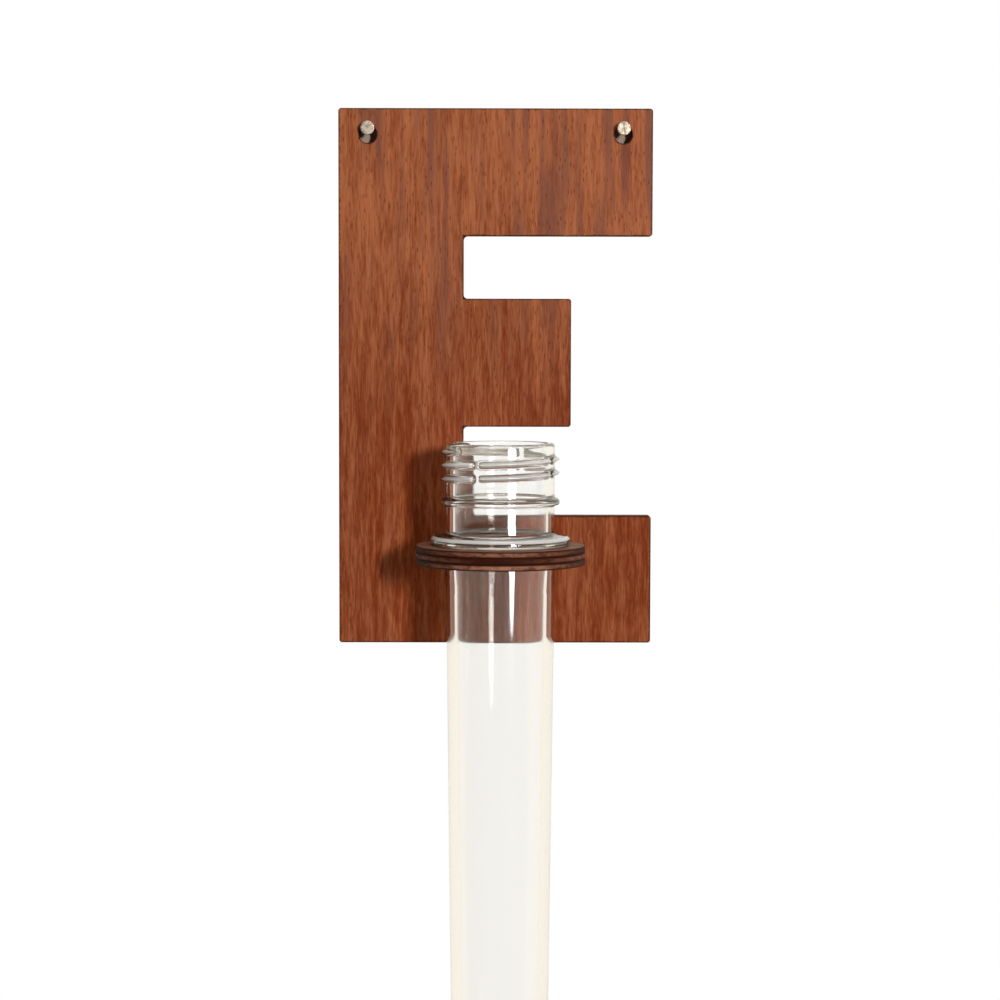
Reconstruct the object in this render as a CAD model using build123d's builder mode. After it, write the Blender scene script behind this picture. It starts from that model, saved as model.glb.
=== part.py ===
from build123d import *
import os
from math import asin, degrees, sqrt

os.makedirs("parts", exist_ok=True)

# A letter board cut from three-ply sheet hangs on two wire nails. A ring cut from the same sheet
# is tabbed into its bottom arm, and a clear moulded tube hangs in the ring by its support flange.
# Millimetres. X runs to the right, Y into the wall and Z up. The origin is on the wall, midway
# between the two nails.

# Three-ply sheet
ply_thickness = 1.5
letter_plies = ("letter_back_ply", "letter_core_ply", "letter_front_ply")
ring_plies = ("ring_bottom_ply", "ring_core_ply", "ring_top_ply")

# Letter board
letter_width = 76.3
spine_width = 30.4
middle_arm_length = 56.6
arm_height = 31.2
top_arm_height = 30.8
upper_gap = 15.2
lower_gap = 21.8
outer_corner_radius = 0.7
inner_corner_radius = 1.0

# Nails, and the round holes that the board hangs by
nail_inset = 7.15
nail_length = 30.0
nail_neck_width = 1.25
nail_neck_length = 6.8
nail_shank_diameter = 1.4
nail_head_diameter = 3.4
nail_head_thickness = 0.8
nail_head_chamfer = 0.2
nail_point_length = 2.6
nail_head_stand_off = 1.8
nail_hole_diameter = 4.3
nail_hole_below_top = 6.3
nail_hang_gap = 0.05

# Tube holder ring
ring_wall = 6.65
ring_board_gap = 3.0
ring_below_arm_top = 5.2
ring_offset = 1.2
ring_neck_width = 24.0
ring_neck_fillet = 3.0
ring_tab_width = 16.0
ring_bore_clearance = 0.4
slot_glue_gap = 0.1

# Tube, measured up and down from the underside of its support flange
neck_height = 24.1
neck_bore_diameter = 21.7
neck_wall = 1.95
rim_chamfer = 0.5
bead_projection = 1.2
bead_height = 10.3
bead_land = 1.2
bead_slope = 0.5
flange_projection = 3.7
flange_edge_thickness = 2.1
flange_top_rise = 0.5
flange_edge_chamfer = 0.4
body_length = 126.0
body_shoulder_wall = 2.1
body_taper = 1.35
body_top_wall = 2.65
body_end_wall = 2.6
bore_step_below_flange = 4.0
bore_step_length = 7.0
gate_diameter = 4.0
gate_length = 1.2

# Radii and levels that follow from the sizes
sheet_thickness = ply_thickness * len(letter_plies)
neck_bore_radius = neck_bore_diameter / 2
neck_radius = neck_bore_radius + neck_wall
body_top_radius = neck_bore_radius + body_shoulder_wall
ring_bore_radius = body_top_radius + ring_bore_clearance
ring_radius = ring_bore_radius + ring_wall
nail_spacing = letter_width - 2 * nail_inset
nail_neck_half = nail_neck_width / 2
nail_hole_rise = sqrt((nail_hole_diameter / 2) ** 2 - nail_neck_half**2)
nail_hole_z = nail_neck_half + nail_hang_gap - nail_hole_rise
letter_height = arm_height + lower_gap + arm_height + upper_gap + top_arm_height
letter_left = -letter_width / 2
letter_top = nail_hole_z + nail_hole_below_top
letter_bottom = letter_top - letter_height
ring_top = letter_bottom + arm_height - ring_below_arm_top
ring_bottom = ring_top - ply_thickness * len(ring_plies)
ring_thickness = ring_top - ring_bottom
ring_reach = ring_radius + ring_board_gap
tube_axis_y = -sheet_thickness - ring_reach

# Outline of the letter, with its nail holes and the slot for the ring's tab
arms = (
    (letter_bottom, arm_height, letter_width),
    (letter_bottom + arm_height + lower_gap, arm_height, middle_arm_length),
    (letter_top - top_arm_height, top_arm_height, letter_width),
)
with BuildSketch() as letter_face:
    with Locations((letter_left, letter_bottom)):
        Rectangle(spine_width, letter_height, align=(Align.MIN, Align.MIN))
    for arm_bottom, arm_rise, arm_length in arms:
        with Locations((letter_left, arm_bottom)):
            Rectangle(arm_length, arm_rise, align=(Align.MIN, Align.MIN))
    columns = letter_face.vertices().group_by(Axis.X)
    fillet(columns[1], radius=inner_corner_radius)
    columns = letter_face.vertices().group_by(Axis.X)
    fillet(columns[0] + columns[-2] + columns[-1], radius=outer_corner_radius)
    with GridLocations(nail_spacing, 0, 2, 1):
        with Locations((0, nail_hole_z)):
            Circle(nail_hole_diameter / 2, mode=Mode.SUBTRACT)
    with Locations((ring_offset, (ring_top + ring_bottom) / 2)):
        Rectangle(
            ring_tab_width + 2 * slot_glue_gap,
            ring_thickness + 2 * slot_glue_gap,
            mode=Mode.SUBTRACT,
        )

# The letter's plies, from the wall to the front
for layer, node in enumerate(letter_plies):
    with BuildPart() as letter_ply:
        with BuildSketch(Plane.XZ.offset(layer * ply_thickness)):
            add(letter_face.sketch)
        extrude(amount=ply_thickness)
    letter_ply.part.label = node
    export_step(letter_ply.part, f"parts/{node}.step")

# Outline of the ring: a disc, a neck whose shoulders meet the board, and a tab through its slot
with BuildSketch() as ring_face:
    with Locations((ring_offset, tube_axis_y)):
        Circle(ring_radius)
        Rectangle(ring_neck_width, ring_reach, align=(Align.CENTER, Align.MIN))
    neck_roots = ring_face.vertices().filter_by_position(
        Axis.Y, tube_axis_y, tube_axis_y + ring_radius
    )
    fillet(neck_roots, radius=ring_neck_fillet)
    with Locations((ring_offset, -sheet_thickness)):
        Rectangle(ring_tab_width, sheet_thickness, align=(Align.CENTER, Align.MIN))
    with Locations((ring_offset, tube_axis_y)):
        Circle(ring_bore_radius, mode=Mode.SUBTRACT)

# The ring's plies, from the bottom up
for layer, node in enumerate(ring_plies):
    with BuildPart() as ring_ply:
        with BuildSketch(Plane.XY.offset(ring_bottom + layer * ply_thickness)):
            add(ring_face.sketch)
        extrude(amount=ply_thickness)
    ring_ply.part.label = node
    export_step(ring_ply.part, f"parts/{node}.step")

# Half section of the tube: radius across, height from the underside of the flange
bead_radius = neck_radius + bead_projection
flange_radius = neck_radius + flange_projection
dome_radius = body_top_radius - body_taper
dome_height = dome_radius - body_length
gate_radius = gate_diameter / 2
gate_bottom = -body_length - gate_length
dome_sweep = 90 - degrees(asin(gate_radius / dome_radius))
bore_end_radius = dome_radius - body_end_wall
bore_top_radius = body_top_radius - body_top_wall
bore_step_end = -bore_step_below_flange - bore_step_length
bead_bottom = bead_height - bead_land / 2
bead_top = bead_height + bead_land / 2

tube_plane = Plane(origin=(ring_offset, tube_axis_y, ring_top), x_dir=(1, 0, 0), z_dir=(0, -1, 0))
with BuildPart() as tube:
    with BuildSketch(tube_plane) as tube_section:
        with BuildLine():
            dome = CenterArc((0, dome_height), dome_radius, 0, -dome_sweep)
            Polyline(
                dome @ 0,
                (body_top_radius, 0),
                (flange_radius, 0),
                (flange_radius, flange_edge_thickness),
                (neck_radius, flange_edge_thickness + flange_top_rise),
                (neck_radius, bead_bottom - bead_slope),
                (bead_radius, bead_bottom),
                (bead_radius, bead_top),
                (neck_radius, bead_top + bead_slope),
                (neck_radius, neck_height - rim_chamfer),
                (neck_radius - rim_chamfer, neck_height),
                (neck_bore_radius + rim_chamfer, neck_height),
                (neck_bore_radius, neck_height - rim_chamfer),
                (neck_bore_radius, -bore_step_below_flange),
                (bore_top_radius, bore_step_end),
                (bore_end_radius, dome_height),
            )
            bore_dome = CenterArc((0, dome_height), bore_end_radius, 0, -90)
            Polyline(bore_dome @ 1, (0, gate_bottom), (gate_radius, gate_bottom), dome @ 1)
        make_face()
        flange_corners = tube_section.vertices().group_by(Axis.X)[-1]
        chamfer(flange_corners, length=flange_edge_chamfer)
    revolve(axis=Axis(tube_plane.origin, (0, 0, 1)))
tube.part.label = "tube"
export_step(tube.part, "parts/tube.step")

# Wire nails: a flat round head, a neck squared by the dies that gripped the wire, which carries the
# board, a round shank and a four-sided point
head_back = sheet_thickness + nail_head_stand_off
head_front = head_back + nail_head_thickness
neck_end = head_back - nail_neck_length
tip = head_front - nail_length
shank_radius = nail_shank_diameter / 2
for side_name, side in (("left", -1), ("right", 1)):
    nail_plane = Plane(origin=(side * nail_spacing / 2, 0, 0), x_dir=(1, 0, 0), z_dir=(0, -1, 0))
    with BuildPart() as nail:
        with BuildSketch(nail_plane.offset(head_back)):
            Circle(nail_head_diameter / 2)
        extrude(amount=nail_head_thickness)
        chamfer(nail.edges().sort_by(Axis.Y)[0], length=nail_head_chamfer)
        with BuildSketch(nail_plane.offset(neck_end)):
            Rectangle(nail_neck_width, nail_neck_width)
        extrude(amount=nail_neck_length)
        with BuildSketch(nail_plane.offset(tip)):
            Circle(shank_radius)
        extrude(amount=neck_end - tip)
        point_tip = nail_plane.offset(tip).origin
        for turn in range(4):
            outward = Vector(1, 0, 0).rotate(Axis.Y, 90 * turn)
            flat_normal = outward * nail_point_length + Vector(0, shank_radius, 0)
            split(bisect_by=Plane(origin=point_tip, z_dir=flat_normal), keep=Keep.BOTTOM)
    nail.part.label = f"nail_{side_name}"
    export_step(nail.part, f"parts/nail_{side_name}.step")
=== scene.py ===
# %% [markdown]
# # Propagation vase on a letter board
# A plywood letter hangs on two wire nails. A plywood ring is tabbed into its lowest arm, and a clear
# moulded tube hangs in the ring by its flange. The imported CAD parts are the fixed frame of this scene:
# sizes are read from them or named in millimetres, and each new piece is built where its part already is.

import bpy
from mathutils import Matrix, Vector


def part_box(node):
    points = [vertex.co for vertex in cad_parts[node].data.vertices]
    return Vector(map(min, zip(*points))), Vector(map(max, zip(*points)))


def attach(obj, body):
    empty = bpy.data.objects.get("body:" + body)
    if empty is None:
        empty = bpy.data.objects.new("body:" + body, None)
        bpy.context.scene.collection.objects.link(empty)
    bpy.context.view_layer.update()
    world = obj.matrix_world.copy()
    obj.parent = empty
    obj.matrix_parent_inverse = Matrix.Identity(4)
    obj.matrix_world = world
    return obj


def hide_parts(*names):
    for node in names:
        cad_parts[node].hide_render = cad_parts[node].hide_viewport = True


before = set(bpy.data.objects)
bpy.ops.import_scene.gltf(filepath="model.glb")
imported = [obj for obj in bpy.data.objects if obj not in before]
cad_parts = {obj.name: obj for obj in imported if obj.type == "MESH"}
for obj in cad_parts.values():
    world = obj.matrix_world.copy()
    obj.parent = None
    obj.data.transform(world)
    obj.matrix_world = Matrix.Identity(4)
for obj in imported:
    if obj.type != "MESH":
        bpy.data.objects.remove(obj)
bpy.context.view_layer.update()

# %% Units and part boxes
from math import acos, ceil, cos, hypot, pi, radians, sin, sqrt

import bpy
import numpy as np
from mathutils import Euler, Matrix, Vector

MM = 0.001


def box_mm(node):
    """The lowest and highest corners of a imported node, in millimetres."""
    low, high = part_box(node)
    return np.array(low) / MM, np.array(high) / MM


board_low, board_high = box_mm("letter_front_ply")
BOARD_THICKNESS = -board_low[1]
PLY_THICKNESS = board_high[1] - board_low[1]
print("board", np.round(board_high - board_low, 2), "front at", round(board_low[1], 2))

# %% [markdown]
# ## Camera
# The picture was taken from straight in front, a little above the tube's neck and about 64 cm away. The
# lens and the place were solved from the corners of the board, whose size is known, so the pieces land on
# their own places in the frame. A pitched camera without lens shift keeps every other viewpoint centred
# too.

# %% Camera
SENSOR_WIDTH = 36.0
FOCAL_LENGTH = 93.6
CAMERA_PLACE = (-2.2, -639.4, -47.2)
CAMERA_PITCH = -3.875
CAMERA_YAW = 0.308
CAMERA_ROLL = 0.111

lens = bpy.data.cameras.new("photo_lens")
lens.sensor_width = SENSOR_WIDTH
lens.lens = FOCAL_LENGTH
camera = bpy.data.objects.new("photo_camera", lens)
camera.location = Vector(CAMERA_PLACE) * MM
heading = Euler((radians(90 + CAMERA_PITCH), 0, radians(-CAMERA_YAW))).to_matrix()
camera.rotation_euler = (heading @ Matrix.Rotation(radians(CAMERA_ROLL), 3, "Z")).to_euler()
scene = bpy.context.scene
scene.collection.objects.link(camera)
scene.camera = camera
scene.view_settings.view_transform = "Standard"
print("lens", lens.lens, "mm, camera at", tuple(camera.location))

# %% [markdown]
# ## Shader nodes in few words
# Every finish below is a small web of shader nodes. They could be wired one line at a time, but a few
# helpers keep those webs short to read. The first adds a node and fills its sockets with either numbers or
# links, the next two do one sum and one smooth step, and the last opens an empty material.


# %% Node helpers
def node(tree, kind, inputs=None, **settings):
    """Adds a shader node, sets its options, then fills each named or numbered input with a value or a
    link."""
    made = tree.nodes.new("ShaderNode" + kind)
    for option, value in settings.items():
        setattr(made, option, value)
    for key, value in (inputs or {}).items():
        if isinstance(value, bpy.types.NodeSocket):
            tree.links.new(value, made.inputs[key])
        else:
            made.inputs[key].default_value = value
    return made


def sums(tree, operation, *values):
    """One Math node; returns its result."""
    return node(tree, "Math", dict(enumerate(values)), operation=operation).outputs[0]


def ramp(tree, value, low, high, start=0.0, end=1.0):
    """A smooth step of value: start up to low, end from high on."""
    limits = {"Value": value, "From Min": low, "From Max": high, "To Min": start, "To Max": end}
    return node(tree, "MapRange", limits, interpolation_type="SMOOTHSTEP").outputs[0]


def new_material(name):
    """An empty node material; returns it, its tree and its output node."""
    material = bpy.data.materials.new(name)
    material.use_nodes = True
    material.node_tree.nodes.clear()
    return material, material.node_tree, node(material.node_tree, "OutputMaterial")


print("node helpers:", [helper.__name__ for helper in (node, sums, ramp, new_material)])

# %% [markdown]
# ## Stage and light
# The object hangs free of any surface, so the floor lies well below it and fades to white further out. The
# world shows plain white to the camera and to light that passes straight through the tube. Reflections,
# also those inside the tube's walls, see white walls all round, apart from a dim side to the left of the
# camera. Everything else gets only a soft grey, so the white does not light the wood twice. A small key
# softbox stands on the right and a little above the camera: it throws the shadows of the tube and the ring
# to the left. A panel overhead brightens what faces up, such as the ring and the tube's flange. An oval
# panel beside the key only shows in the tube's reflections and draws the long stripes there, and a wide
# soft fill keeps the back of the board readable.

# %% World
AMBIENT = 0.105
WALL_LEVEL = 1.0
DIM_LEVEL = 0.22
DIM_SIDE = radians(-45)
DIM_FROM = 0.45
DIM_FULL = 0.90
WHITE = (1, 1, 1, 1)
WALL_TINT = (1, 0.97, 0.90, 1)
SOFT_TINT = (1, 0.98, 0.95, 1)

world = bpy.data.worlds.new("studio")
scene.world = world
world.use_nodes = True
studio = world.node_tree
studio.nodes.clear()
rays = node(studio, "LightPath").outputs
bounced = sums(studio, "GREATER_THAN", rays["Glossy Depth"], 0.5)
straight = sums(studio, "GREATER_THAN", rays["Is Transmission Ray"], bounced)
seen = sums(studio, "MAXIMUM", rays["Is Camera Ray"], straight)
inner = sums(studio, "MULTIPLY", rays["Is Transmission Ray"], bounced)
mirrors = sums(studio, "MAXIMUM", rays["Is Glossy Ray"], inner)
pair = {0: node(studio, "TexCoord").outputs["Generated"], 1: (sin(DIM_SIDE), -cos(DIM_SIDE), 0)}
towards_dim = node(studio, "VectorMath", pair, operation="DOT_PRODUCT").outputs["Value"]
backdrop = ramp(studio, towards_dim, DIM_FROM, DIM_FULL, WALL_LEVEL, DIM_LEVEL)
white = node(studio, "Background", {"Color": WHITE, "Strength": 1.0})
mirrored = node(studio, "Background", {"Color": WALL_TINT, "Strength": backdrop})
soft = node(studio, "Background", {"Color": SOFT_TINT, "Strength": AMBIENT})
sky = node(studio, "MixShader", {0: mirrors, 1: soft.outputs[0], 2: mirrored.outputs[0]})
sky = node(studio, "MixShader", {0: seen, 1: sky.outputs[0], 2: white.outputs[0]})
node(studio, "OutputWorld", {"Surface": sky.outputs[0]})
print("levels: ambient", AMBIENT, "walls", WALL_LEVEL, "dim side", DIM_LEVEL)

# %% Floor
FLOOR_LEVEL = -1200.0
FLOOR_HALF = 2600.0
FLOOR_GLOW = 0.7
GLOW_FROM = 1.3
GLOW_FULL = 2.5
FLOOR_PAINT = (0.9, 0.9, 0.89, 1)

floor_mesh = bpy.data.meshes.new("floor")
floor_corners = np.array([(-1, -1, 0), (1, -1, 0), (1, 1, 0), (-1, 1, 0)]) * FLOOR_HALF + (0, 0, FLOOR_LEVEL)
floor_mesh.from_pydata((floor_corners * MM).tolist(), [], [(0, 1, 2, 3)])
floor = bpy.data.objects.new("floor", floor_mesh)
scene.collection.objects.link(floor)

pale, tree, output = new_material("pale_floor")
rays = node(tree, "LightPath").outputs
seen = sums(tree, "MAXIMUM", rays["Is Camera Ray"], rays["Is Glossy Ray"])
seen = sums(tree, "MAXIMUM", seen, rays["Is Transmission Ray"])
matt = node(tree, "BsdfPrincipled", {"Base Color": FLOOR_PAINT, "Roughness": 0.9})
glow = node(tree, "Emission", {"Color": WHITE, "Strength": 1.0})
metres = node(tree, "TexCoord").outputs["Object"]
far = node(tree, "VectorMath", {0: metres}, operation="LENGTH").outputs["Value"]
share = sums(tree, "MULTIPLY", seen, ramp(tree, far, GLOW_FROM, GLOW_FULL, FLOOR_GLOW, 1.0))
surface = node(tree, "MixShader", {0: share, 1: matt.outputs[0], 2: glow.outputs[0]})
tree.links.new(surface.outputs[0], output.inputs["Surface"])
floor_mesh.materials.append(pale)
print("floor at", FLOOR_LEVEL, "mm")

# %% Softboxes
AIM = Vector((0.0, -15.0, -80.0)) * MM


def softbox(name, azimuth, elevation, distance, width, height, watts):
    """An area lamp that faces the object, azimuth degrees to the right of the camera and elevation degrees
    up; distance and sizes in metres."""
    turn, lift = radians(azimuth), radians(elevation)
    towards = Vector((sin(turn) * cos(lift), -cos(turn) * cos(lift), sin(lift)))
    lamp = bpy.data.lights.new(name, "AREA")
    lamp.shape = "RECTANGLE"
    lamp.size = width
    lamp.size_y = height
    lamp.energy = watts
    box = bpy.data.objects.new(name, lamp)
    box.location = AIM + towards * distance
    box.rotation_euler = towards.to_track_quat("Z", "Y").to_euler()
    box.visible_camera = False
    scene.collection.objects.link(box)
    print(name, watts, "W at", np.round(box.location, 2))
    return box


softbox("key_softbox", azimuth=19.5, elevation=8.5, distance=1.2, width=0.10, height=0.16, watts=9.8)
softbox("overhead_softbox", azimuth=10, elevation=80, distance=1.2, width=0.5, height=0.5, watts=5.6)
oval = softbox("oval_softbox", azimuth=24, elevation=-2.4, distance=1.2, width=0.34, height=0.31, watts=9.0)
oval.data.shape = "ELLIPSE"
oval.visible_diffuse = False
lit_by_oval = bpy.data.collections.new("lit_by_oval")
oval.light_linking.receiver_collection = lit_by_oval
fill = softbox("back_fill", azimuth=150, elevation=25, distance=1.5, width=1.2, height=1.2, watts=9.0)
fill.visible_glossy = False
fill.visible_transmission = False

# %% [markdown]
# ## Wall behind the nail holes
# On the wall, a nail hole shows a little of the plaster behind it. A whole wall would hide the back of the
# board from every other viewpoint, so only a coin of it stands behind each hole. Its back side lets the
# view through.

# %% Wall coins
COIN_RADIUS = 3.0
COIN_BEHIND = 0.3
COIN_POINTS = 32
PLASTER = (0.42, 0.31, 0.23, 1)

plaster, tree, output = new_material("plaster")
matt = node(tree, "BsdfPrincipled", {"Base Color": PLASTER, "Roughness": 0.9})
gone = node(tree, "BsdfTransparent")
behind = node(tree, "NewGeometry").outputs["Backfacing"]
surface = node(tree, "MixShader", {0: behind, 1: matt.outputs[0], 2: gone.outputs[0]})
tree.links.new(surface.outputs[0], output.inputs["Surface"])
turn = np.linspace(0, 2 * pi, COIN_POINTS, endpoint=False)
for side in ("left", "right"):
    low, high = box_mm(f"nail_{side}")
    coin = np.stack([np.cos(turn), np.zeros(COIN_POINTS), np.sin(turn)], axis=-1) * COIN_RADIUS
    coin += ((low[0] + high[0]) / 2, COIN_BEHIND, -COIN_RADIUS / 2)
    coin_mesh = bpy.data.meshes.new(f"wall_behind_{side}_nail")
    coin_mesh.from_pydata((coin * MM).tolist(), [], [range(COIN_POINTS)])
    coin_mesh.materials.append(plaster)
    patch = bpy.data.objects.new(coin_mesh.name, coin_mesh)
    scene.collection.objects.link(patch)
    print(coin_mesh.name, "faces", tuple(coin_mesh.polygons[0].normal))

# %% [markdown]
# ## Node groups
# An effect that several finishes share is built once, as a node group with named sockets, and then given
# its own values in each finish. Three more helpers open such a group and do its vector sums and its mixes
# of colour.


# %% Node group helpers
def vectors(tree, operation, *values):
    """One Vector Math node; returns its vector."""
    return node(tree, "VectorMath", dict(enumerate(values)), operation=operation).outputs[0]


def mixed(tree, share, first, second):
    """A colour between first and second; share 1 is all second."""
    return node(tree, "Mix", {0: share, 6: first, 7: second}, data_type="RGBA").outputs[2]


def open_group(name, inputs, outputs):
    """A new node group with named sockets; returns its tree, its inputs and its outputs."""
    tree = bpy.data.node_groups.new(name, "ShaderNodeTree")
    for label, kind in inputs:
        tree.interface.new_socket(label, in_out="INPUT", socket_type="NodeSocket" + kind)
    for label, kind in outputs:
        tree.interface.new_socket(label, in_out="OUTPUT", socket_type="NodeSocket" + kind)
    entry = tree.nodes.new("NodeGroupInput")
    leave = tree.nodes.new("NodeGroupOutput")
    return tree, entry.outputs, leave.inputs


print("group helpers:", [helper.__name__ for helper in (vectors, mixed, open_group)])

# %% [markdown]
# ## Veneer grain
# The sheet is faced with a red-brown hardwood veneer: broad ribbons of lighter, darker and greyer wood,
# fine fibres, and short dark pores that all run one way. Stretched noise gives the ribbons and fibres, each
# with its own size across and along the grain. Stretched cells give the pores: a spindle at the middle of
# some of them. One group serves every ply. Its vector is in millimetres, with Z along the grain.

# %% Veneer grain group
DRIFT_SIZE = (11.0, 55.0)
DRIFT_REACH = 1.6
RIBBON_SIZE = (4.5, 60.0)
STRIPE_SIZE = (1.2, 13.0)
FIBRE_SIZE = (0.42, 4.2)
GREY_SIZE = (3.2, 42.0)
RIBBON_WEIGHT = 0.27
STRIPE_WEIGHT = 0.30
FIBRE_WEIGHT = 0.43
TONE_RANGE = (0.31, 0.69)
TONE_HEIGHT = 0.3
GREY_RANGE = (0.45, 0.68)
# The range of the painted-light input over which the grey ribbons' share rises, as a painted pale sheen.
PAINTED_LIGHT_RANGE = (-0.07, 0.06)
GREY_SHARES = (0.1, 0.7)
PORE_WIDTH = 0.62
PORE_LENGTH = 2.6
PORE_SHARE = 0.7
SPINDLE_RANGE = (0.05, 0.36)
CHOSEN_RANGE = (0.25, 0.6)


def stretched(tree, vector, across, along, detail=2.0, roughness=0.5):
    """Noise drawn out along Z: across and along are the sizes of its cells in millimetres."""
    squeeze = (1 / across, 1 / across, 1 / along)
    cells = {"Vector": vectors(tree, "MULTIPLY", vector, squeeze), "Scale": 1.0, "Detail": detail}
    return node(tree, "TexNoise", cells | {"Roughness": roughness}).outputs[0]


grain_group, given, result = open_group(
    "veneer_grain",
    [
        ("Vector", "Vector"),
        ("Light Wood", "Color"),
        ("Dark Wood", "Color"),
        ("Grey Wood", "Color"),
        ("Pore", "Color"),
        ("Paler", "Float"),
    ],
    [("Color", "Color"), ("Pores", "Float"), ("Height", "Float")],
)
drift = stretched(grain_group, given["Vector"], *DRIFT_SIZE)
drift = sums(grain_group, "MULTIPLY", drift, DRIFT_REACH)
sideways = node(grain_group, "CombineXYZ", {"X": drift}).outputs[0]
along = vectors(grain_group, "ADD", given["Vector"], sideways)
ribbon = stretched(grain_group, along, *RIBBON_SIZE)
stripe = stretched(grain_group, along, *STRIPE_SIZE)
fibre = stretched(grain_group, along, *FIBRE_SIZE, roughness=0.6)
greyed = stretched(grain_group, along, *GREY_SIZE, detail=1.0)
tone = sums(grain_group, "MULTIPLY", ribbon, RIBBON_WEIGHT)
tone = sums(grain_group, "MULTIPLY_ADD", stripe, STRIPE_WEIGHT, tone)
tone = sums(grain_group, "MULTIPLY_ADD", fibre, FIBRE_WEIGHT, tone)
# The last input shifts the tone: painted light where it is above zero, painted shade where it is below.
tone = sums(grain_group, "ADD", tone, given["Paler"])
tone = ramp(grain_group, tone, *TONE_RANGE)
wood = mixed(grain_group, tone, given["Dark Wood"], given["Light Wood"])
grey_ribbon = ramp(grain_group, greyed, *GREY_RANGE)
# The grey ribbons show more where that input paints light, as a painted pale sheen.
grey_share = ramp(grain_group, given["Paler"], *PAINTED_LIGHT_RANGE, *GREY_SHARES)
grey_share = sums(grain_group, "MULTIPLY", grey_ribbon, grey_share)
wood = mixed(grain_group, grey_share, wood, given["Grey Wood"])
cells = vectors(grain_group, "MULTIPLY", along, (1 / PORE_WIDTH, 1 / PORE_WIDTH, 1 / PORE_LENGTH))
cell = node(grain_group, "TexVoronoi", {"Vector": cells, "Scale": 1.0})
spindle = ramp(grain_group, cell.outputs["Distance"], *SPINDLE_RANGE, 1.0, 0.0)
draw = node(grain_group, "SeparateColor", {0: cell.outputs["Color"]}).outputs[0]
chosen = ramp(grain_group, draw, *CHOSEN_RANGE)
pore = sums(grain_group, "MULTIPLY", spindle, chosen)
pore_share = sums(grain_group, "MULTIPLY", pore, PORE_SHARE)
wood = mixed(grain_group, pore_share, wood, given["Pore"])
height = sums(grain_group, "MULTIPLY_ADD", tone, TONE_HEIGHT, sums(grain_group, "MULTIPLY", pore, -1.0))
grain_group.links.new(wood, result["Color"])
grain_group.links.new(pore, result["Pores"])
grain_group.links.new(height, result["Height"])
print("veneer_grain has", len(grain_group.nodes), "nodes")

# %% [markdown]
# ## Laser-cut edges
# The outline was cut by a laser, which scorches the wood: the sawn walls are dark, and a hair line of soot
# runs round every face. On the walls the burn is not even. Fibres that end at the wall burn nearly black,
# fibres that run along it stay a toasted brown, and the corners and the glue lines are darkest. The group
# needs four facts about a point: its colour, how far it lies from the cut, how far from the nearest face or
# glue line of the sheet, and how much end grain it shows.

# %% Laser edge group
SOOT = (0.034, 0.006, 0.002, 1)
SMOKE_SIZE = (2.2, 0.9)
SMOKE_RANGE = (0.3, 0.7)
SOOT_FROM = 0.02
SOOT_REACH = (0.28, 0.62)
CORNER_RANGE = (0.12, 0.55)
TOAST_RANGE = (0.30, 0.62)
LEAST_TOAST = 0.30

edge_group, given, result = open_group(
    "laser_edge",
    [
        ("Vector", "Vector"),
        ("Wood", "Color"),
        ("Toast", "Color"),
        ("Cut Distance", "Float"),
        ("Face Distance", "Float"),
        ("End Grain", "Float"),
    ],
    [("Color", "Color"), ("Char", "Float")],
)
smoke = stretched(edge_group, given["Vector"], *SMOKE_SIZE)
reach = ramp(edge_group, smoke, *SMOKE_RANGE, *SOOT_REACH)
burn = ramp(edge_group, given["Cut Distance"], SOOT_FROM, reach, 1.0, 0.0)
clear_of_face = ramp(edge_group, given["Face Distance"], *CORNER_RANGE)
lengthways = sums(edge_group, "SUBTRACT", 1.0, given["End Grain"])
toasted = sums(edge_group, "MULTIPLY", clear_of_face, lengthways)
uneven = ramp(edge_group, smoke, *TOAST_RANGE, LEAST_TOAST, 1.0)
toasted = sums(edge_group, "MULTIPLY", toasted, uneven)
burnt = mixed(edge_group, toasted, SOOT, given["Toast"])
edge_group.links.new(mixed(edge_group, burn, given["Wood"], burnt), result["Color"])
edge_group.links.new(burn, result["Char"])
print("laser_edge has", len(edge_group.nodes), "nodes")

# %% [markdown]
# ## Distance to the letter's cut
# The letter plies keep their CAD meshes, which carry no edge marks, so the distance to the cut is worked
# out in the shader. The letter is a union of four blocks: inside a block the distance to its edge is the
# smaller of the two clearances, and the union takes the largest of the four. The nail holes and the ring's
# slot count too.

# %% Letter distance group
SPINE_WIDTH = 30.4
MIDDLE_ARM_LENGTH = 56.6
ARM_HEIGHT = 31.2
TOP_ARM_HEIGHT = 30.8
LOWER_GAP = 21.8
NAIL_HOLE_RADIUS = 2.15
NAIL_HOLE_BELOW_TOP = 6.3
SLOT_CLEARANCE = 0.1
TAB_WIDTH = 16.0

ring_low, ring_high = box_mm("ring_core_ply")
ring_bottom = box_mm("ring_bottom_ply")[0][2]
ring_top = box_mm("ring_top_ply")[1][2]
ring_radius = (ring_high[0] - ring_low[0]) / 2
axis_x = (ring_low[0] + ring_high[0]) / 2
axis_y = ring_low[1] + ring_radius
nail_left_low, nail_left_high = box_mm("nail_left")
nail_x = -(nail_left_low[0] + nail_left_high[0]) / 2
left, bottom = board_low[0], board_low[2]
right, top = board_high[0], board_high[2]
middle = bottom + ARM_HEIGHT + LOWER_GAP
blocks = (
    (left, left + SPINE_WIDTH, bottom, top),
    (left, right, bottom, bottom + ARM_HEIGHT),
    (left, left + MIDDLE_ARM_LENGTH, middle, middle + ARM_HEIGHT),
    (left, right, top - TOP_ARM_HEIGHT, top),
)

letter_group, given, result = open_group("letter_cut", [("Vector", "Vector")], [("Distance", "Float")])
place = node(letter_group, "SeparateXYZ", {0: given["Vector"]}).outputs


def away(coordinate, centre):
    """How far a coordinate lies from a centre line."""
    return sums(letter_group, "ABSOLUTE", sums(letter_group, "SUBTRACT", coordinate, centre))


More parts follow.
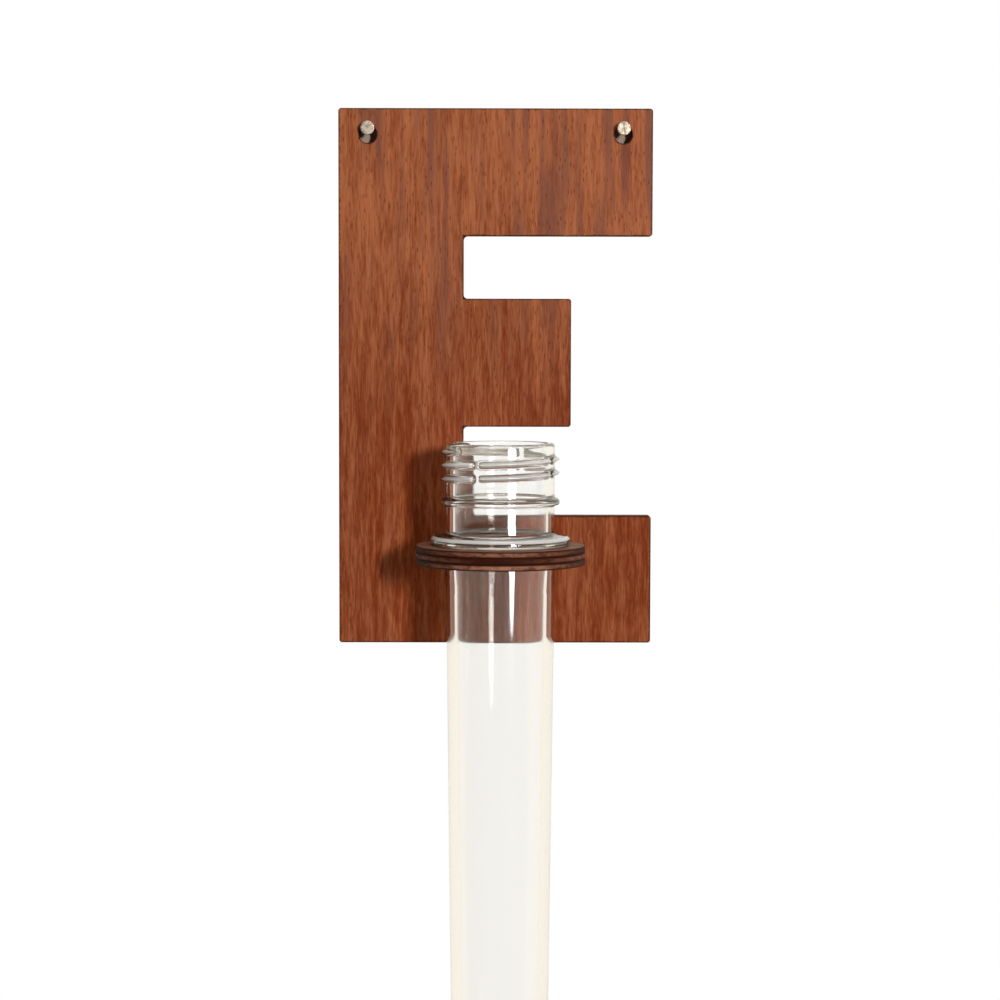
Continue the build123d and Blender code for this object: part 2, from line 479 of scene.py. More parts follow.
inside = -1.0
for x_low, x_high, z_low, z_high in blocks:
    clear_x = sums(letter_group, "SUBTRACT", (x_high - x_low) / 2, away(place[0], (x_low + x_high) / 2))
    clear_z = sums(letter_group, "SUBTRACT", (z_high - z_low) / 2, away(place[2], (z_low + z_high) / 2))
    inside = sums(letter_group, "MAXIMUM", inside, sums(letter_group, "MINIMUM", clear_x, clear_z))
from_nail_x = sums(letter_group, "SUBTRACT", sums(letter_group, "ABSOLUTE", place[0]), nail_x)
from_nail_z = sums(letter_group, "SUBTRACT", place[2], top - NAIL_HOLE_BELOW_TOP)
squares = sums(letter_group, "MULTIPLY", from_nail_z, from_nail_z)
squares = sums(letter_group, "MULTIPLY_ADD", from_nail_x, from_nail_x, squares)
from_hole = sums(letter_group, "SUBTRACT", sums(letter_group, "SQRT", squares), NAIL_HOLE_RADIUS)
slot_x = sums(letter_group, "SUBTRACT", away(place[0], axis_x), TAB_WIDTH / 2 + SLOT_CLEARANCE)
slot_half = (ring_top - ring_bottom) / 2 + SLOT_CLEARANCE
slot_z = sums(letter_group, "SUBTRACT", away(place[2], (ring_top + ring_bottom) / 2), slot_half)
from_slot = sums(letter_group, "MAXIMUM", slot_x, slot_z)
inside = sums(letter_group, "MINIMUM", inside, from_hole)
inside = sums(letter_group, "MINIMUM", inside, from_slot)
letter_group.links.new(inside, result["Distance"])
print("letter blocks", np.round(blocks, 2).tolist())

# %% [markdown]
# ## Wood finishes
# Face and core plies are the same wood with the grain turned, so one function makes all five finishes: it
# turns the coordinates until Z lies along the grain, draws the grain, scorches it near the cut, and lets
# pores and soot scatter the light more than the oiled wood between them.

# %% Veneer finish
PORE_WOOD = (0.120, 0.022, 0.006, 1)
TOAST = (0.300, 0.118, 0.070, 1)
PORE_DEPTH = 0.04
GRAIN_RELIEF = 0.5
WOOD_SHINE = 0.05
WOOD_ROUGHNESS = 0.46
PORE_ROUGHNESS = 0.15
CHAR_ROUGHNESS = 0.12
# Heights in millimetres between which the board's painted shade at the foot turns into painted light at the
# top.
PAINTED_FALLOFF_FOOT = -85.0
PAINTED_FALLOFF_TOP = -12.0
GRAIN_TURNS = {"X": ("Z", "Y", "X"), "Y": ("X", "Z", "Y"), "Z": ("X", "Y", "Z")}


def place_group(tree, group, inputs):
    """Places a finished group in a material and fills its inputs."""
    return node(tree, "Group", inputs, node_tree=group).outputs


def millimetres(tree):
    """The place of a shaded point in its own piece, in millimetres."""
    metres = node(tree, "TexCoord").outputs["Object"]
    return node(tree, "VectorMath", {0: metres, "Scale": 1 / MM}, operation="SCALE").outputs[0]


def letter_cut(tree, place):
    """Distance to the letter's outline, from the shared group."""
    return place_group(tree, letter_group, {"Vector": place})["Distance"]


def ring_cut(tree, place):
    """Distance to the ring's outline, which its own mesh carries as an attribute."""
    return node(tree, "Attribute", attribute_name="cut_distance").outputs["Fac"]


def veneer(name, grain, sheet_axis, sheet_middle, cut, woods, toast=TOAST, painted_falloff=(0.0, 0.0)):
    """A ply's finish: grain is the axis its fibres follow, sheet_axis the one across the sheet, woods its
    light, dark and grey colours. The tone shifts by the first of the two falloff values at the board's foot
    and
    by the second at its top: painted shade low down, painted light high up."""
    material, tree, output = new_material(name)
    place = millimetres(tree)
    axes = node(tree, "SeparateXYZ", {0: place}).outputs
    turned = node(tree, "CombineXYZ", {i: axes[axis] for i, axis in enumerate(GRAIN_TURNS[grain])}).outputs[0]
    colours = dict(zip(("Light Wood", "Dark Wood", "Grey Wood"), woods)) | {"Pore": PORE_WOOD}
    # Painted shade and light: the tone is shifted darker at the foot and paler at the top, ramped by height.
    painted_light = ramp(tree, axes["Z"], PAINTED_FALLOFF_FOOT, PAINTED_FALLOFF_TOP, *painted_falloff)
    grown = place_group(tree, grain_group, {"Vector": turned, "Paler": painted_light} | colours)
    off_middle = sums(tree, "ABSOLUTE", sums(tree, "SUBTRACT", axes[sheet_axis], sheet_middle))
    face_distance = sums(tree, "SUBTRACT", BOARD_THICKNESS / 2, off_middle)
    glue_distance = sums(tree, "ABSOLUTE", sums(tree, "SUBTRACT", off_middle, PLY_THICKNESS / 2))
    face_distance = sums(tree, "MINIMUM", face_distance, glue_distance)
    normal = node(tree, "NewGeometry").outputs["Normal"]
    facing = node(tree, "SeparateXYZ", {0: normal}).outputs[grain]
    end_grain = sums(tree, "MULTIPLY", facing, facing)
    facts = {"Vector": place, "Wood": grown["Color"], "Cut Distance": cut(tree, place)}
    facts |= {"Face Distance": face_distance, "End Grain": end_grain, "Toast": toast}
    scorched = place_group(tree, edge_group, facts)
    roughness = sums(tree, "MULTIPLY_ADD", grown["Pores"], PORE_ROUGHNESS, WOOD_ROUGHNESS)
    roughness = sums(tree, "MULTIPLY_ADD", scorched["Char"], CHAR_ROUGHNESS, roughness)
    relief = {"Strength": GRAIN_RELIEF, "Distance": PORE_DEPTH * MM, "Height": grown["Height"]}
    bumps = node(tree, "Bump", relief).outputs[0]
    finish = {"Base Color": scorched["Color"], "Roughness": roughness, "Normal": bumps}
    skin = node(tree, "BsdfPrincipled", finish | {"Specular IOR Level": WOOD_SHINE})
    tree.links.new(skin.outputs[0], output.inputs["Surface"])
    return material


print("veneers can run along", list(GRAIN_TURNS))

# %% Wood materials
LIGHT_WOOD = (0.462, 0.146, 0.058, 1)
DARK_WOOD = (0.195, 0.030, 0.004, 1)
GREY_WOOD = (0.200, 0.070, 0.044, 1)
SMOKED_LIGHT = (0.250, 0.118, 0.072, 1)
SMOKED_DARK = (0.110, 0.044, 0.023, 1)
CORE_LIGHT = (0.170, 0.060, 0.030, 1)
CORE_DARK = (0.080, 0.022, 0.010, 1)
PALE_TOAST = (0.400, 0.170, 0.105, 1)
# Tone shifts for the letter's face: painted shade at its foot (first), painted light at its top (second).
BOARD_PAINTED_FALLOFF = (-0.075, 0.060)

board_middle = -BOARD_THICKNESS / 2
ring_middle = (ring_bottom + ring_top) / 2
board_woods = (LIGHT_WOOD, DARK_WOOD, GREY_WOOD)
core_woods = (CORE_LIGHT, CORE_DARK, CORE_DARK)
smoked_woods = (SMOKED_LIGHT, SMOKED_DARK, SMOKED_DARK)
letter_face = veneer("letter_face_veneer", "Z", "Y", board_middle, letter_cut, board_woods, painted_falloff=BOARD_PAINTED_FALLOFF)
letter_core = veneer("letter_core_veneer", "X", "Y", board_middle, letter_cut, core_woods)
ring_face = veneer("ring_face_veneer", "X", "Z", ring_middle, ring_cut, smoked_woods)
ring_foot = veneer("ring_foot_veneer", "X", "Z", ring_middle, ring_cut, smoked_woods, PALE_TOAST)
ring_core = veneer("ring_core_veneer", "Y", "Z", ring_middle, ring_cut, core_woods)
print("wood finishes:", [m.name for m in (letter_face, letter_core, ring_face, ring_foot, ring_core)])

# %% [markdown]
# ## Letter board
# The three plies are cut together, so their CAD solids already have the right outline, holes and slot, and
# they stay. Each only gets its finish and a hair of rounding: Weld joins the loose triangles of the CAD
# mesh and Bevel breaks its sharp edges, which also leaves a fine line where two plies are glued.

# %% Letter plies
EDGE_ROUNDING = 0.12
WELD_GAP = 0.005
SHARP_FROM = radians(60)

for ply, finish in (
    ("letter_back_ply", letter_face),
    ("letter_core_ply", letter_core),
    ("letter_front_ply", letter_face),
):
    board = bpy.data.objects[ply]
    board.data.materials.clear()
    board.data.materials.append(finish)
    weld = board.modifiers.new("join_triangles", "WELD")
    weld.merge_threshold = WELD_GAP * MM
    rounding = board.modifiers.new("broken_edges", "BEVEL")
    rounding.width = EDGE_ROUNDING * MM
    rounding.segments = 2
    rounding.limit_method = "ANGLE"
    rounding.angle_limit = SHARP_FROM
    rounding.loop_slide = False
    print(ply, len(board.data.polygons), "triangles kept")

# %% [markdown]
# ## From a grid to a mesh
# The ring's plies, the tube and the nails are all closed skins: each row of points is a loop round the
# piece and the rows follow its section. A section either ends on the axis, at two poles, or runs back to
# its first row. The faces come from the grid's own numbering, and the enclosed volume says which way they
# point.


# %% Closed skin
def closed_skin(name, points, poles=None):
    """Joins rows of points, shaped rows x columns x 3 in millimetres, into one closed mesh. Neighbours in a
    row and in neighbouring rows make quads; poles are two points that close the first and last row with
    fans. The volume is a sixth of the sum of a . (b x c) over the triangles, and faces flip where it is
    negative."""
    rows, columns = points.shape[:2]
    index = np.arange(rows * columns).reshape(rows, columns)
    lower = index if poles is None else index[:-1]
    upper = np.roll(index, -1, axis=0)[: len(lower)]
    quads = np.stack([lower, np.roll(lower, -1, 1), np.roll(upper, -1, 1), upper], axis=-1).reshape(-1, 4)
    triangles = np.concatenate([quads[:, [0, 1, 2]], quads[:, [0, 2, 3]]])
    vertices = points.reshape(-1, 3)
    fans = np.empty((0, 3), int)
    if poles is not None:
        vertices = np.concatenate([vertices, poles])
        first = np.stack([np.full(columns, rows * columns), np.roll(index[0], -1), index[0]], axis=-1)
        last = np.stack([np.full(columns, rows * columns + 1), index[-1], np.roll(index[-1], -1)], axis=-1)
        fans = np.concatenate([first, last])
        triangles = np.concatenate([triangles, fans])
    a, b, c = (vertices[triangles[:, corner]] for corner in range(3))
    volume = np.einsum("ij,ij->", a, np.cross(b, c)) / 6
    if volume < 0:
        quads, fans = quads[:, ::-1], fans[:, ::-1]
    mesh = bpy.data.meshes.new(name)
    mesh.from_pydata((vertices * MM).tolist(), [], quads.tolist() + fans.tolist())
    mesh.shade_smooth()
    print(name, len(triangles), "triangles,", round(abs(volume), 1), "cubic mm")
    return mesh


def add_piece(mesh, body, node_name, slot_name, material):
    """Puts a finished mesh in the scene as a piece that rides on a body and stands for one CAD node."""
    mesh.materials.append(material)
    piece = bpy.data.objects.new(mesh.name, mesh)
    scene.collection.objects.link(piece)
    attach(piece, body)
    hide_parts(node_name)
    return piece


print("piece helpers:", closed_skin.__name__, add_piece.__name__)

# %% [markdown]
# ## Ring plies
# The ring is a disc with a round bore, a neck that reaches the board and a narrower tab that goes through
# it. It could be cut with booleans, but as seen from the axis its outline never doubles back, so it is also
# a grid: one parameter runs round the outline, the other round the small rectangle between bore and
# outline. Rounded corners break the edges, and each point keeps its distance to the cut for the scorch
# marks.

# %% Ring outline
RING_BORE_RADIUS = 13.35
NECK_WIDTH = 24.0
NECK_FILLET = 3.0
DISC_STEPS = 110
FILLET_STEPS = 10


def turned_points(radius, angles, centre=(0.0, 0.0)):
    """Points at these angles on a circle."""
    return np.column_stack([np.cos(angles), np.sin(angles)]) * radius + centre


def ring_outline():
    """The outline round the axis, from the front to the tab and back. Half of it is the disc's arc, the
    fillet between disc and neck, whose centre lies a fillet outside both, then the shoulder and the tab as
    straight runs; the other half is its mirror image."""
    shoulder_y = board_low[1] - axis_y
    tab_end_y = ring_high[1] - axis_y
    root_x = NECK_WIDTH / 2 + NECK_FILLET
    root_y = sqrt((ring_radius + NECK_FILLET) ** 2 - root_x**2)
    join = np.arctan2(root_y, root_x)
    disc = turned_points(ring_radius, np.linspace(-pi / 2, join, DISC_STEPS))
    fillet = turned_points(NECK_FILLET, np.linspace(join - pi, -pi, FILLET_STEPS), (root_x, root_y))
    corners = [
        (NECK_WIDTH / 2, shoulder_y),
        (TAB_WIDTH / 2, shoulder_y),
        (TAB_WIDTH / 2, tab_end_y),
        (0, tab_end_y),
    ]
    half = np.concatenate([disc, fillet[1:], corners])
    mirrored = half[-2:0:-1] * (-1, 1)
    return np.concatenate([half, mirrored])


outline = ring_outline()
print("ring outline", len(outline), "points, reach", round(outline[:, 1].max(), 2))

# %% Ring ply meshes
FACE_INSETS = (0.6, 1.1, 2.5)
RING_ROUNDING = 0.28
ROUNDING_STEPS = 5
RING_SHARP_FROM = radians(50)


def ply_section(thickness):
    """Rows round a ply's cross-section as (from outline?, inset, height): up the bore wall, over the
    rounded corners and the top face, down the outer wall and back underneath. Corner insets follow 1 - cos,
    heights 1 - sin of a quarter turn."""
    turn = np.linspace(0, pi / 2, ROUNDING_STEPS)
    inset = RING_ROUNDING * (1 - np.cos(turn))
    height = thickness / 2 - RING_ROUNDING * (1 - np.sin(turn))
    inset = np.concatenate([inset, FACE_INSETS])
    height = np.concatenate([height, np.full(len(FACE_INSETS), thickness / 2)])
    bore_top = np.column_stack([np.zeros_like(inset), inset, height])
    wall_top = np.column_stack([np.ones_like(inset), inset, height])[::-1]
    upper = np.concatenate([bore_top, wall_top])
    lower = upper[::-1] * (1, 1, -1)
    return np.concatenate([upper, lower])


def ring_ply(name, low, high):
    """The ply as a grid: a point lies on the ray through its outline point, inset from the bore outwards or
    from the outline inwards, at its row's height."""
    section = ply_section(high - low)
    outwards = outline / np.linalg.norm(outline, axis=1)[:, None]
    from_outline, inset, height = (section[:, i, None, None] for i in range(3))
    bore_side = outwards * (RING_BORE_RADIUS + inset)
    cut_side = outline - outwards * inset
    flat = np.where(from_outline > 0, cut_side, bore_side) + (axis_x, axis_y)
    level = np.broadcast_to(height + (low + high) / 2, flat.shape[:2] + (1,))
    mesh = closed_skin(name, np.concatenate([flat, level], axis=-1))
    distance = np.repeat(section[:, 1], len(outline))
    marks = mesh.attributes.new("cut_distance", "FLOAT", "POINT")
    marks.data.foreach_set("value", distance.astype(np.float32))
    mesh.set_sharp_from_angle(angle=RING_SHARP_FROM)
    return mesh


for layer, slot_name, finish in (
    ("bottom", "face_veneer", ring_foot),
    ("core", "core_veneer", ring_core),
    ("top", "face_veneer", ring_face),
):
    part = f"ring_{layer}_ply"
    low, high = box_mm(part)
    add_piece(ring_ply(f"{layer}_ring_veneer", low[2], high[2]), "plaque", part, slot_name, finish)

# %% [markdown]
# ## Clear plastic
# The tube is moulded in a hard, clear plastic. Light passes, bends and is faintly tinted on its way through
# the thick walls, so the finish is a transmitting shader with a pale absorbing volume. A faint ripple in
# the normal, as a mould leaves it, keeps the reflections from looking machined, and handling haze varies
# the roughness. The thread and the flange's rim of such a neck look milky: light that wanders about inside
# them comes out everywhere. A share of plain pale scattering says the same with far fewer bounces, so they
# get a cloudier version.

# %% Clear plastic material
PLASTIC_INDEX = 1.55
PLASTIC_TINT = (0.75, 0.65, 0.40, 1)
PLASTIC_DENSITY = 36.0
PLASTIC_SHINE = (0.85, 0.85, 0.85, 1)
CLOUDY_TINT = (1.0, 0.96, 0.91, 1)
CLOUDY_CLEARNESS = 0.40
HAZE_SIZE = (7.0, 16.0)
HAZE_RANGE = (0.40, 0.75)
RIPPLE_SIZE = (6.0, 22.0)
RIPPLE_STRENGTH = 0.25
RIPPLE_DEPTH = 0.02


def plastic(name, colour, clearness, smooth, hazy):
    """A moulded plastic: clearness is the share of light that passes, smooth and hazy its roughness
    limits."""
    material, tree, output = new_material(name)
    place = millimetres(tree)
    haze = stretched(tree, place, *HAZE_SIZE, detail=3.0)
    ripple = stretched(tree, place, *RIPPLE_SIZE, detail=1.0)
    relief = {"Strength": RIPPLE_STRENGTH, "Distance": RIPPLE_DEPTH * MM, "Height": ripple}
    bumps = node(tree, "Bump", relief).outputs[0]
    finish = {
        "Base Color": colour,
        "Roughness": ramp(tree, haze, *HAZE_RANGE, smooth, hazy),
        "IOR": PLASTIC_INDEX,
        "Specular Tint": PLASTIC_SHINE,
        "Transmission Weight": clearness,
        "Normal": bumps,
    }
    skin = node(tree, "BsdfPrincipled", finish)
    volume = node(tree, "VolumeAbsorption", {"Color": PLASTIC_TINT, "Density": PLASTIC_DENSITY})
    tree.links.new(skin.outputs[0], output.inputs["Surface"])
    tree.links.new(volume.outputs[0], output.inputs["Volume"])
    return material


clear_plastic = plastic("clear_plastic", WHITE, 1.0, smooth=0.02, hazy=0.09)
cloudy_plastic = plastic("cloudy_plastic", CLOUDY_TINT, CLOUDY_CLEARNESS, smooth=0.03, hazy=0.10)
print("plastics:", clear_plastic.name, cloudy_plastic.name, "index", PLASTIC_INDEX)

# %% [markdown]
# ## Tube
# A moulded tube is a lathe shape: a section turned about its axis, from the gate under its dome, up the
# tapered wall, over flange and bead to the rim, and down the stepped bore. Only the screw thread is not
# round. It is added as a height over the neck wall, a function of angle and level, so that the whole tube
# stays one skin. Two helpers round the section's corners and fill its long runs.


# %% Rounded paths
def rounded_path(corners, radii, steps=7):
    """A polyline whose inner corners become arcs. An arc touches both sides of its corner at radius divided
    by the tangent of half the angle between them, and its centre lies on the line that halves that
    angle."""
    corners = np.asarray(corners, float)
    path = [corners[:1]]
    for before, corner, after, radius in zip(corners, corners[1:], corners[2:], radii):
        back = (before - corner) / hypot(*(before - corner))
        ahead = (after - corner) / hypot(*(after - corner))
        half = acos(back @ ahead) / 2
        centre = corner + (back + ahead) / hypot(*(back + ahead)) * radius / sin(half)
        starts, ends = (corner + side * radius * cos(half) / sin(half) - centre for side in (back, ahead))
        first, last = np.arctan2(starts[1], starts[0]), np.arctan2(ends[1], ends[0])
        sweep = (last - first + pi) % (2 * pi) - pi
        path.append(turned_points(radius, first + sweep * np.linspace(0, 1, steps), centre))
    path.append(corners[-1:])
    return np.concatenate(path)


def evenly_filled(path, longest):
    """Adds a point to a path at every whole step of its length, so none lie further apart than that."""
    run = np.concatenate([[0], np.cumsum(np.hypot(*np.diff(path, axis=0).T))])
    places = np.union1d(run, np.arange(0, run[-1], longest))
    return np.column_stack([np.interp(places, run, path[:, 0]), np.interp(places, run, path[:, 1])])


sample = rounded_path([(0, 0), (1, 0), (1, 1)], [0.2])
print("a rounded corner takes", len(sample), "points")

# %% Tube section
NECK_RADIUS = 12.8
NECK_BORE_RADIUS = 10.85
NECK_HEIGHT = 24.1
BEAD_RADIUS = 14.0
BEAD_HEIGHT = 10.3
BEAD_HALF_LAND = 0.6
BEAD_SLOPE = 0.5
BEAD_UNDERCUT = 0.1
FLANGE_RADIUS = 16.5
FLANGE_EDGE = 2.1
FLANGE_RISE = 0.5
BODY_RADIUS = 12.95
DOME_RADIUS = 11.6
BODY_LENGTH = 126.0
BORE_TOP_RADIUS = 10.3
BORE_END_RADIUS = 9.0
BORE_STEP_TOP = -4.0
BORE_STEP_END = -11.0
GATE_RADIUS = 2.0
GATE_LENGTH = 1.2
THREAD_FOOT = 12.4
THREAD_HEAD = 23.2
LONGEST_STEP = 4.0
GATE_ROUNDING = 0.4
OUTSIDE_ROUNDINGS = (0.3, 0.95, 1.0, 0.8, 0.4, 0.45, 0.80, 0.5)
INSIDE_ROUNDINGS = (0.7, 0.6, 1.5, 1.5)
DOME_STEPS = 40
BORE_DOME_STEPS = 30
THREAD_ROWS = 150

dome_level = DOME_RADIUS - BODY_LENGTH
gate_level = -BODY_LENGTH - GATE_LENGTH
gate_angle = -acos(GATE_RADIUS / DOME_RADIUS)
gate_top = dome_level + DOME_RADIUS * sin(gate_angle)
bead_low = BEAD_HEIGHT - BEAD_HALF_LAND
bead_high = BEAD_HEIGHT + BEAD_HALF_LAND
gate = rounded_path([(0, gate_level), (GATE_RADIUS, gate_level), (GATE_RADIUS, gate_top)], [GATE_ROUNDING])
dome = turned_points(DOME_RADIUS, np.linspace(gate_angle, 0, DOME_STEPS), (0, dome_level))
outside = rounded_path(
    [
        (DOME_RADIUS, dome_level),
        (BODY_RADIUS, 0),
        (FLANGE_RADIUS, 0),
        (FLANGE_RADIUS, FLANGE_EDGE),
        (NECK_RADIUS, FLANGE_EDGE + FLANGE_RISE),
        (NECK_RADIUS, bead_low - BEAD_UNDERCUT),
        (BEAD_RADIUS, bead_low),
        (BEAD_RADIUS, bead_high),
        (NECK_RADIUS, bead_high + BEAD_SLOPE),
        (NECK_RADIUS, THREAD_FOOT),
    ],
    OUTSIDE_ROUNDINGS,
)
thread_rows = np.linspace(THREAD_FOOT, THREAD_HEAD, THREAD_ROWS)
thread_wall = np.column_stack([np.full_like(thread_rows, NECK_RADIUS), thread_rows])
inside = rounded_path(
    [
        (NECK_RADIUS, THREAD_HEAD),
        (NECK_RADIUS, NECK_HEIGHT),
        (NECK_BORE_RADIUS, NECK_HEIGHT),
        (NECK_BORE_RADIUS, BORE_STEP_TOP),
        (BORE_TOP_RADIUS, BORE_STEP_END),
        (BORE_END_RADIUS, dome_level),
    ],
    INSIDE_ROUNDINGS,
)
bore_dome = turned_points(BORE_END_RADIUS, np.linspace(0, -pi / 2, BORE_DOME_STEPS), (0, dome_level))
section = np.concatenate([gate, dome[1:], outside[1:], thread_wall[1:], inside[1:], bore_dome[1:]])
section = evenly_filled(section, LONGEST_STEP)
print("tube section", len(section), "points")

# %% Tube thread
THREAD_PITCH = 3.18
THREAD_HEIGHT = 1.15
THREAD_HALF_WIDTH = 0.54
THREAD_FULLNESS = 2.2
THREAD_START_BELOW_RIM = 2.1
THREAD_START_ANGLE = radians(230)
THREAD_LEAD = radians(50)
THREAD_TURNS = 2.3
THREAD_FADE = radians(65)
VENT_ANGLES = np.radians([64, 154, 244, 334])
VENT_HALF_WIDTH = 0.95


def eased(value):
    """Three squares less two cubes: a smooth 0 to 1."""
    value = np.clip(value, 0, 1)
    return value * value * (3 - 2 * value)


def thread_rise(angle, level):
    """Height of the thread over the neck. Its crest falls by one pitch a turn, clockwise from its start;
    the flanks follow a bell curve of the distance to the crest, both ends fade out, and four vents cut it
    through."""
    rise = np.zeros(np.broadcast(angle, level).shape)
    for turn in range(ceil(THREAD_TURNS)):
        run = (THREAD_START_ANGLE - angle) % (2 * pi) + 2 * pi * turn
        crest = NECK_HEIGHT - THREAD_START_BELOW_RIM - THREAD_PITCH * (run - THREAD_LEAD) / (2 * pi)
        fade = eased(run / THREAD_FADE) * eased((2 * pi * THREAD_TURNS - run) / THREAD_FADE)
        off_crest = abs(level - crest) / THREAD_HALF_WIDTH
        rise = np.maximum(rise, fade * np.exp(-(off_crest**THREAD_FULLNESS)))
    off_vent = (angle[..., None] - VENT_ANGLES + pi) % (2 * pi) - pi
    vents = np.exp(-((off_vent * NECK_RADIUS / VENT_HALF_WIDTH) ** 4)).sum(axis=-1)
    return THREAD_HEIGHT * rise * (1 - np.clip(vents, 0, 1))


print("thread", THREAD_TURNS, "turns at a pitch of", THREAD_PITCH, "mm")

# %% [markdown]
# ## Tube skin
# The section's rows and an even run of angles make the grid, with the thread added on the neck's wall. The
# faces of the thread and of the two edges of the flange's rim then get the cloudier plastic. The bead, the
# band between those two edges and all plain walls stay clear.

# %% Tube mesh
COLUMNS = 256
HAIR = 0.01
SEAT_SKIN = 0.02
CLOUDY_FROM = 0.30
FLANGE_RIM = 1.3
CLEAR_HALF_BAND = 0.40

angle = np.linspace(0, 2 * pi, COLUMNS, endpoint=False)
wall_radius, wall_level = section[1:-1, 0, None], section[1:-1, 1, None]
on_neck = (abs(wall_radius - NECK_RADIUS) < HAIR) & (wall_level > THREAD_FOOT - HAIR)
rise = np.where(on_neck, thread_rise(angle[None, :], wall_level), 0)
radius = wall_radius + rise
flange_seat = ring_top
tube_points = np.stack(
    [
        axis_x + radius * np.cos(angle),
        axis_y + radius * np.sin(angle),
        np.broadcast_to(wall_level + flange_seat, radius.shape),
    ],
    axis=-1,
)
tube_poles = [(axis_x, axis_y, section[i, 1] + flange_seat) for i in (0, -1)]
tube_mesh = closed_skin("moulded_tube", tube_points, np.array(tube_poles))
tube_piece = add_piece(tube_mesh, "tube", "tube", "clear_tube", clear_plastic)
lit_by_oval.objects.link(tube_piece)
tube_mesh.materials.append(cloudy_plastic)
proud = (radius > NECK_RADIUS + CLOUDY_FROM) & (wall_level > SEAT_SKIN)
proud &= abs(wall_level - BEAD_HEIGHT) > BEAD_HALF_LAND + BEAD_SLOPE
proud &= (wall_level > THREAD_FOOT) | (radius > FLANGE_RADIUS - FLANGE_RIM)
proud &= abs(wall_level - FLANGE_EDGE / 2) > CLEAR_HALF_BAND
cloudy = proud[:-1] & proud[1:]
cloudy = cloudy & np.roll(cloudy, -1, axis=1)
slots = np.zeros(len(tube_mesh.polygons), np.int32)
slots[: cloudy.size] = cloudy.ravel()
tube_mesh.polygons.foreach_set("material_index", slots)
print("cloudy faces on thread and flange:", int(slots.sum()))
print("thread stands", round(rise.max(), 2), "mm over the neck")

# %% [markdown]
# ## Nail steel
# The nails are plain bare wire nails: dull, slightly yellowed steel with darker specks where it has begun
# to tarnish. Metal takes its colour from its base colour, so the tarnish goes there and into the roughness.

# %% Nail steel material
BRIGHT_STEEL = (0.36, 0.305, 0.25, 1)
DULL_STEEL = (0.235, 0.19, 0.145, 1)
STEEL_ROUGHNESS = 0.42
TARNISH_ROUGHNESS = 0.2
TARNISH_SIZE = (0.9, 0.9)
TARNISH_RANGE = (0.40, 0.66)
SCUFF_SIZE = (0.12, 0.5)
SCUFF_STRENGTH = 0.4
SCUFF_DEPTH = 0.02

nail_steel, tree, output = new_material("nail_steel")
place = millimetres(tree)
specks = stretched(tree, place, *TARNISH_SIZE, detail=4.0, roughness=0.6)
tarnish = ramp(tree, specks, *TARNISH_RANGE)
scuffs = stretched(tree, place, *SCUFF_SIZE)
relief = {"Strength": SCUFF_STRENGTH, "Distance": SCUFF_DEPTH * MM, "Height": scuffs}
bumps = node(tree, "Bump", relief).outputs[0]
finish = {
    "Base Color": mixed(tree, tarnish, BRIGHT_STEEL, DULL_STEEL),
    "Metallic": 1.0,
    "Roughness": sums(tree, "MULTIPLY_ADD", tarnish, TARNISH_ROUGHNESS, STEEL_ROUGHNESS),
    "Normal": bumps,
}
skin = node(tree, "BsdfPrincipled", finish)
tree.links.new(skin.outputs[0], output.inputs["Surface"])
print("nail steel from", BRIGHT_STEEL, "to", DULL_STEEL)

# %% [markdown]
# ## Nails
# A wire nail is headed cold from round wire: dies grip it, which squares and notches its neck, a punch
# spreads the flat head, and four cutters pinch its point. Its skin is a radius over angle and length, with
# the head's profile first, then the square neck, the round shank and the flats of the point.

# %% Nail surface
HEAD_RADIUS = 1.7
HEAD_THICKNESS = 0.8
HEAD_ROUNDING = 0.2
HEAD_BACK_ROUNDING = 0.08
HEAD_BACK_RADIUS = 0.8
HEAD_STEP = 0.2
NECK_HALF = 0.625
NECK_LENGTH = 6.8
NECK_SQUARENESS = 9.0
GRIP_PITCH = 0.75
GRIP_DEPTH = 0.06
GRIP_LENGTH = 4.5
SHANK_RADIUS = 0.7
NECK_STEP = 0.05
POINT_LENGTH = 2.6
POINT_END = 0.02
NAIL_COLUMNS = 64
NAIL_SHARP_FROM = radians(40)
NECK_ROWS = 60
SHANK_ROWS = 20
POINT_ROWS = 24


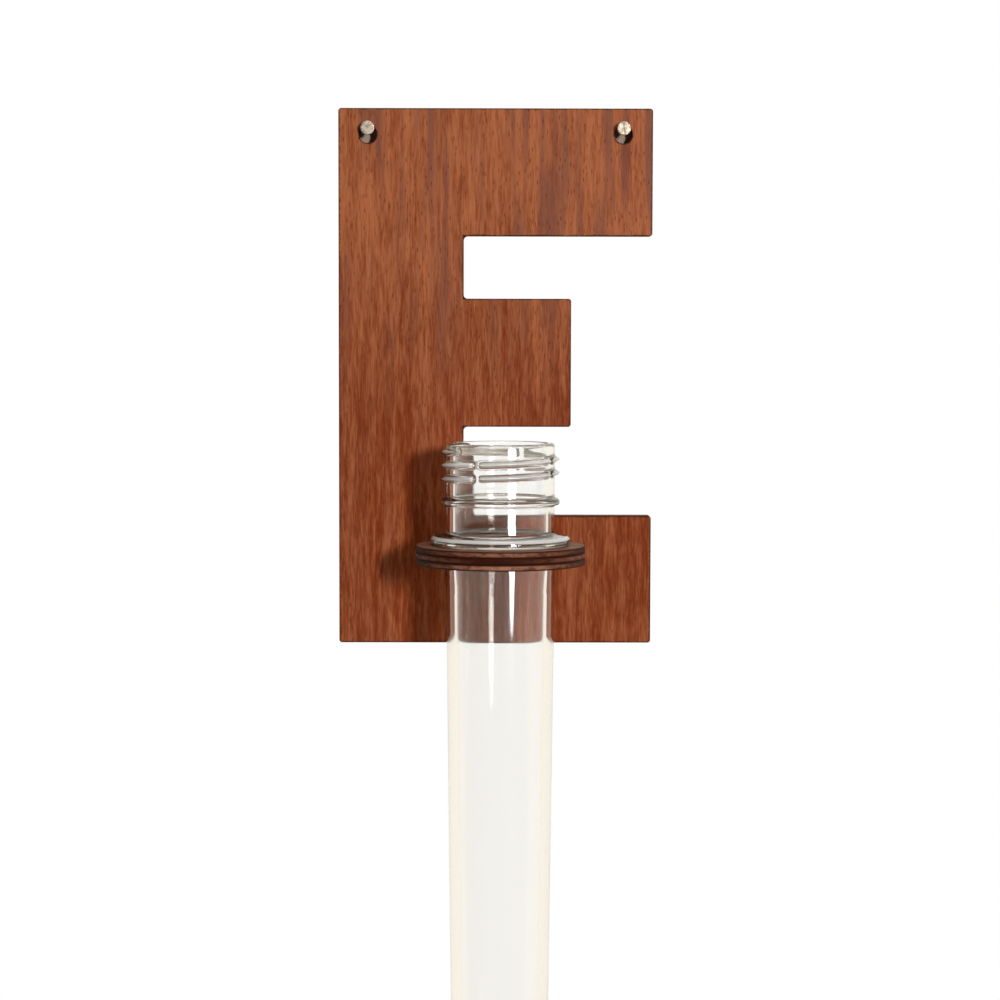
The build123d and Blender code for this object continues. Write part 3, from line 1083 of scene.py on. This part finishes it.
def nail_points(centre_x, head_y, tip_y):
    """A nail along Y. Head rows follow a rounded profile; the neck's radius is its half width over the
    p-norm of the angle's cosine and sine, less notches; the shank is round; on the point the radius is the
    smaller of the shank's and that of four flats that close in on the tip."""
    turn = np.linspace(0, 2 * pi, NAIL_COLUMNS, endpoint=False)
    across = np.abs(np.stack([np.cos(turn), np.sin(turn)]))
    neck_y = head_y + HEAD_THICKNESS
    corners = [(0, head_y), (HEAD_RADIUS, head_y), (HEAD_RADIUS, neck_y), (HEAD_BACK_RADIUS, neck_y)]
    head = rounded_path(corners, [HEAD_ROUNDING, HEAD_BACK_ROUNDING], ROUNDING_STEPS)
    head = evenly_filled(head, HEAD_STEP)[1:]
    neck = np.linspace(neck_y, neck_y + NECK_LENGTH, NECK_ROWS)
    shank = np.linspace(neck[-1] + NECK_STEP, tip_y - POINT_LENGTH, SHANK_ROWS)
    point = tip_y - POINT_LENGTH * np.linspace(1, POINT_END, POINT_ROWS)[1:]
    square = NECK_HALF / (across**NECK_SQUARENESS).sum(axis=0) ** (1 / NECK_SQUARENESS)
    notch = np.clip(np.sin(2 * pi * (neck - neck_y) / GRIP_PITCH), 0, 1) * (neck - neck_y < GRIP_LENGTH)
    gripped = square - GRIP_DEPTH * notch[:, None] * across[0] ** 4
    flats = (tip_y - point[:, None]) * SHANK_RADIUS / POINT_LENGTH / across.max(axis=0)
    radius = np.concatenate(
        [
            np.broadcast_to(head[:, :1], (len(head), NAIL_COLUMNS)),
            gripped,
            np.full((len(shank), NAIL_COLUMNS), SHANK_RADIUS),
            np.minimum(SHANK_RADIUS, flats),
        ]
    )
    level = np.concatenate([head[:, 1], neck, shank, point])[:, None]
    level = np.broadcast_to(level, radius.shape)
    return np.stack([centre_x + radius * np.cos(turn), level, radius * np.sin(turn)], axis=-1)


for side in ("left", "right"):
    part = f"nail_{side}"
    low, high = box_mm(part)
    centre_x = (low[0] + high[0]) / 2
    ends = np.array([(centre_x, low[1], 0), (centre_x, high[1], 0)])
    nail_mesh = closed_skin(f"{side}_nail", nail_points(centre_x, low[1], high[1]), ends)
    nail_mesh.set_sharp_from_angle(angle=NAIL_SHARP_FROM)
    add_piece(nail_mesh, "plaque", part, "nail_steel", nail_steel)
